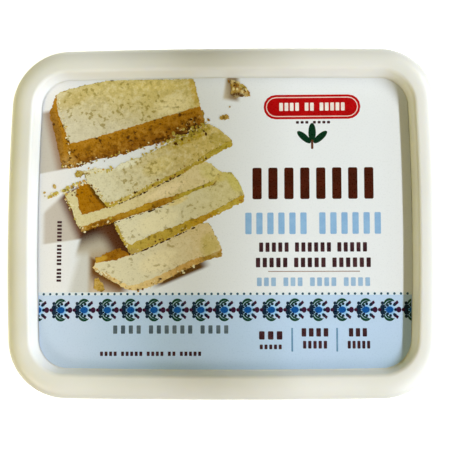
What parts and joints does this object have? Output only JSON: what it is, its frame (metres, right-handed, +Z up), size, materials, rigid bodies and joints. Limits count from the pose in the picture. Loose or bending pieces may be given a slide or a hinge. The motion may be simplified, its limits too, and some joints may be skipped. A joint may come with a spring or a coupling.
{
  "type": "shut halva tub with a lid and a printed label",
  "caption": "Low rectangular tub of cream-white plastic, shut with a push-on lid whose broad round rim frames a sunk panel with a printed label of halva.",
  "frame": {"origin": "middle of the base, on the surface that the tub stands on", "axes": "+Z up out of the lid, +X along the long sides, to the right of the label's picture as it is read"},
  "size_m": [0.1324, 0.1078, 0.038],
  "materials": {
    "tub_plastic": "cream-white injection-moulded plastic, satin",
    "lid_plastic": "cream-white injection-moulded plastic, satin",
    "label_film": "white printed film with a soft gloss"
  },
  "bodies": {
    "root": {"tub": "tub_plastic", "lid": "lid_plastic", "label": "label_film"}
  },
  "joints": []
}
